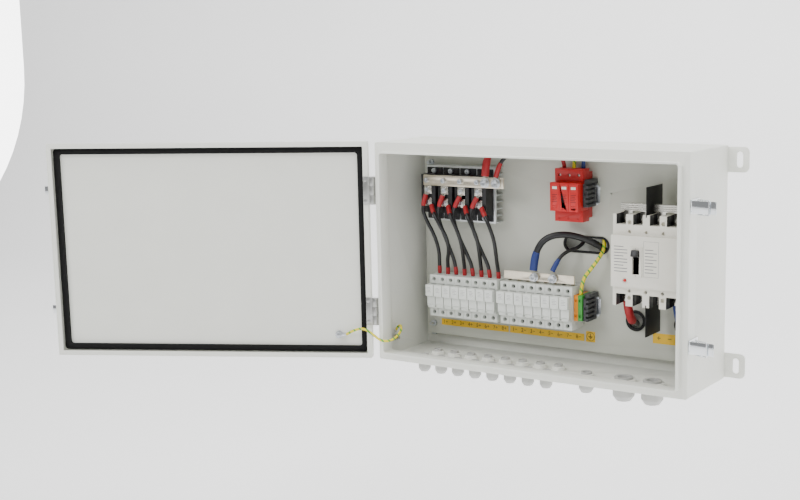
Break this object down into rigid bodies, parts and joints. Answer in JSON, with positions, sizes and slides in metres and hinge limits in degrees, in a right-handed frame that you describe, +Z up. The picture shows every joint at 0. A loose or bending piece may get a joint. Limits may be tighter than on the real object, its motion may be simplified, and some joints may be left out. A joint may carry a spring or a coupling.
{
  "type": "dc combiner box",
  "caption": "Wall-mounted sheet-steel DC combiner box, door swung open on two hinges, with string fuses, blocking diodes, surge protector, breaker and cable glands.",
  "frame": {"origin": "on the wall plane (the back faces of the wall brackets), at the centre of the four bracket slots", "axes": "+X to the right as seen from the front, towards the latch side; +Y into the wall, so the open front of the box faces -Y; +Z up"},
  "size_m": [1.2074, 0.4291, 0.4248],
  "materials": {
    "enclosure_paint": "fine textured light grey powder coat",
    "panel_paint": "smooth light grey paint",
    "zinc_plate": "bright zinc-plated steel",
    "chrome": "bright chrome plate",
    "stainless": "satin stainless steel",
    "gasket_foam": "matt foamed sealing strip",
    "black_rubber": "matt moulded rubber",
    "black_plastic": "matt black polyamide",
    "gland_plastic": "dark grey polyamide",
    "white_nylon": "white polyamide",
    "holder_plastic": "light grey moulded thermoplastic",
    "aluminium": "extruded, mill finish",
    "diode_plastic": "black moulded housing",
    "copper_bar": "tinned copper bar",
    "spd_plastic": "red moulded base",
    "spd_red": "red moulded plug-in module",
    "mccb_plastic": "off-white moulded case",
    "earth_plastic": "green and yellow polyamide",
    "handle_black": "black moulded handle",
    "button_red": "red moulded button",
    "wire_black": "black PVC insulation",
    "wire_earth": "green and yellow PVC insulation"
  },
  "bodies": {
    "enclosure": {"enclosure_shell": "enclosure_paint", "wall_brackets": "zinc_plate", "enclosure_fixings": "zinc_plate", "mounting_panel": "panel_paint", "cable_grommets": "black_rubber", "hinge_frame_halves": "stainless", "latch_bases": "chrome", "din_rails": "zinc_plate", "rail_end_clamps": "holder_plastic", "fuse_bases": "holder_plastic", "fuse_terminals": "zinc_plate", "negative_busbar": "copper_bar", "heat_sink": "aluminium", "diode_modules": "diode_plastic", "positive_busbar": "copper_bar", "busbar_bolts": "zinc_plate", "spd_base": "spd_plastic", "earth_terminal": "earth_plastic", "mccb_base": "mccb_plastic", "mccb_cover": "mccb_plastic", "mccb_barriers": "black_plastic", "mccb_bridges": "zinc_plate", "string_glands": "gland_plastic", "output_glands": "gland_plastic", "gland_locknuts": "white_nylon", "string_wires": "wire_black", "main_cables": "wire_black", "spd_wires": "wire_black", "door_bond_wire": "wire_earth", "cable_lugs": "zinc_plate"},
    "door": {"door_panel": "enclosure_paint", "door_gasket": "gasket_foam", "hinge_door_leaves": "stainless", "door_keepers": "chrome", "door_fixings": "zinc_plate"},
    "latch_lever_upper": {"latch_lever_upper": "chrome"},
    "latch_bail_upper": {"latch_bail_upper": "chrome"},
    "latch_lever_lower": {"latch_lever_lower": "chrome"},
    "latch_bail_lower": {"latch_bail_lower": "chrome"},
    "mccb_handle": {"mccb_handle": "handle_black"},
    "mccb_trip_button": {"mccb_trip_button": "button_red"},
    "spd_module_1": {"spd_module_1": "spd_red"},
    "spd_module_2": {"spd_module_2": "spd_red"},
    "spd_module_3": {"spd_module_3": "spd_red"},
    "pos_fuse_carrier_1": {"pos_fuse_carrier_1": "holder_plastic"},
    "pos_fuse_carrier_2": {"pos_fuse_carrier_2": "holder_plastic"},
    "pos_fuse_carrier_3": {"pos_fuse_carrier_3": "holder_plastic"},
    "pos_fuse_carrier_4": {"pos_fuse_carrier_4": "holder_plastic"},
    "pos_fuse_carrier_5": {"pos_fuse_carrier_5": "holder_plastic"},
    "pos_fuse_carrier_6": {"pos_fuse_carrier_6": "holder_plastic"},
    "pos_fuse_carrier_7": {"pos_fuse_carrier_7": "holder_plastic"},
    "pos_fuse_carrier_8": {"pos_fuse_carrier_8": "holder_plastic"},
    "neg_fuse_carrier_1": {"neg_fuse_carrier_1": "holder_plastic"},
    "neg_fuse_carrier_2": {"neg_fuse_carrier_2": "holder_plastic"},
    "neg_fuse_carrier_3": {"neg_fuse_carrier_3": "holder_plastic"},
    "neg_fuse_carrier_4": {"neg_fuse_carrier_4": "holder_plastic"},
    "neg_fuse_carrier_5": {"neg_fuse_carrier_5": "holder_plastic"},
    "neg_fuse_carrier_6": {"neg_fuse_carrier_6": "holder_plastic"},
    "neg_fuse_carrier_7": {"neg_fuse_carrier_7": "holder_plastic"},
    "neg_fuse_carrier_8": {"neg_fuse_carrier_8": "holder_plastic"}
  },
  "joints": [
    {"name": "door_hinge", "type": "hinge", "parent": "enclosure", "child": "door", "pos_m": [-0.307, -0.163, 0], "axis": [0, 0, 1], "range_deg": [-12, 153.7], "deforming": ["door_bond_wire"]},
    {"name": "latch_lever_upper_hinge", "type": "hinge", "parent": "enclosure", "child": "latch_lever_upper", "pos_m": [0.3055, -0.157, 0.112], "axis": [0, 0, 1], "range_deg": [-15, 80]},
    {"name": "latch_bail_upper_hinge", "type": "hinge", "parent": "latch_lever_upper", "child": "latch_bail_upper", "pos_m": [0.3115, -0.157, 0.112], "axis": [0, 0, 1], "range_deg": [-60, 0]},
    {"name": "latch_lever_lower_hinge", "type": "hinge", "parent": "enclosure", "child": "latch_lever_lower", "pos_m": [0.3055, -0.157, -0.112], "axis": [0, 0, 1], "range_deg": [-15, 80]},
    {"name": "latch_bail_lower_hinge", "type": "hinge", "parent": "latch_lever_lower", "child": "latch_bail_lower", "pos_m": [0.3115, -0.157, -0.112], "axis": [0, 0, 1], "range_deg": [-60, 0]},
    {"name": "mccb_handle_tilt", "type": "hinge", "parent": "enclosure", "child": "mccb_handle", "pos_m": [0.186, -0.07, 0.009], "axis": [1, 0, 0], "range_deg": [0, 36]},
    {"name": "mccb_trip_press", "type": "slide", "parent": "enclosure", "child": "mccb_trip_button", "axis": [0, 1, 0], "range_m": [0, 0.0025], "stiffness_N_per_m": 800},
    {"name": "spd_module_1_pull", "type": "slide", "parent": "enclosure", "child": "spd_module_1", "axis": [0, -1, 0], "range_m": [0, 0.03]},
    {"name": "spd_module_2_pull", "type": "slide", "parent": "enclosure", "child": "spd_module_2", "axis": [0, -1, 0], "range_m": [0, 0.03]},
    {"name": "spd_module_3_pull", "type": "slide", "parent": "enclosure", "child": "spd_module_3", "axis": [0, -1, 0], "range_m": [0, 0.03]},
    {"name": "pos_fuse_carrier_1_swing", "type": "hinge", "parent": "enclosure", "child": "pos_fuse_carrier_1", "pos_m": [-0.23575, -0.079, -0.1095], "axis": [1, 0, 0], "range_deg": [0, 85]},
    {"name": "pos_fuse_carrier_2_swing", "type": "hinge", "parent": "enclosure", "child": "pos_fuse_carrier_2", "pos_m": [-0.21775, -0.079, -0.1095], "axis": [1, 0, 0], "range_deg": [0, 85]},
    {"name": "pos_fuse_carrier_3_swing", "type": "hinge", "parent": "enclosure", "child": "pos_fuse_carrier_3", "pos_m": [-0.19975, -0.079, -0.1095], "axis": [1, 0, 0], "range_deg": [0, 85]},
    {"name": "pos_fuse_carrier_4_swing", "type": "hinge", "parent": "enclosure", "child": "pos_fuse_carrier_4", "pos_m": [-0.18175, -0.079, -0.1095], "axis": [1, 0, 0], "range_deg": [0, 85]},
    {"name": "pos_fuse_carrier_5_swing", "type": "hinge", "parent": "enclosure", "child": "pos_fuse_carrier_5", "pos_m": [-0.16375, -0.079, -0.1095], "axis": [1, 0, 0], "range_deg": [0, 85]},
    {"name": "pos_fuse_carrier_6_swing", "type": "hinge", "parent": "enclosure", "child": "pos_fuse_carrier_6", "pos_m": [-0.14575, -0.079, -0.1095], "axis": [1, 0, 0], "range_deg": [0, 85]},
    {"name": "pos_fuse_carrier_7_swing", "type": "hinge", "parent": "enclosure", "child": "pos_fuse_carrier_7", "pos_m": [-0.12775, -0.079, -0.1095], "axis": [1, 0, 0], "range_deg": [0, 85]},
    {"name": "pos_fuse_carrier_8_swing", "type": "hinge", "parent": "enclosure", "child": "pos_fuse_carrier_8", "pos_m": [-0.10975, -0.079, -0.1095], "axis": [1, 0, 0], "range_deg": [0, 85]},
    {"name": "neg_fuse_carrier_1_swing", "type": "hinge", "parent": "enclosure", "child": "neg_fuse_carrier_1", "pos_m": [-0.0851, -0.079, -0.1095], "axis": [1, 0, 0], "range_deg": [0, 85]},
    {"name": "neg_fuse_carrier_2_swing", "type": "hinge", "parent": "enclosure", "child": "neg_fuse_carrier_2", "pos_m": [-0.0671, -0.079, -0.1095], "axis": [1, 0, 0], "range_deg": [0, 85]},
    {"name": "neg_fuse_carrier_3_swing", "type": "hinge", "parent": "enclosure", "child": "neg_fuse_carrier_3", "pos_m": [-0.0491, -0.079, -0.1095], "axis": [1, 0, 0], "range_deg": [0, 85]},
    {"name": "neg_fuse_carrier_4_swing", "type": "hinge", "parent": "enclosure", "child": "neg_fuse_carrier_4", "pos_m": [-0.0311, -0.079, -0.1095], "axis": [1, 0, 0], "range_deg": [0, 85]},
    {"name": "neg_fuse_carrier_5_swing", "type": "hinge", "parent": "enclosure", "child": "neg_fuse_carrier_5", "pos_m": [-0.0131, -0.079, -0.1095], "axis": [1, 0, 0], "range_deg": [0, 85]},
    {"name": "neg_fuse_carrier_6_swing", "type": "hinge", "parent": "enclosure", "child": "neg_fuse_carrier_6", "pos_m": [0.0049, -0.079, -0.1095], "axis": [1, 0, 0], "range_deg": [0, 85]},
    {"name": "neg_fuse_carrier_7_swing", "type": "hinge", "parent": "enclosure", "child": "neg_fuse_carrier_7", "pos_m": [0.0229, -0.079, -0.1095], "axis": [1, 0, 0], "range_deg": [0, 85]},
    {"name": "neg_fuse_carrier_8_swing", "type": "hinge", "parent": "enclosure", "child": "neg_fuse_carrier_8", "pos_m": [0.0409, -0.079, -0.1095], "axis": [1, 0, 0], "range_deg": [0, 85]}
  ]
}
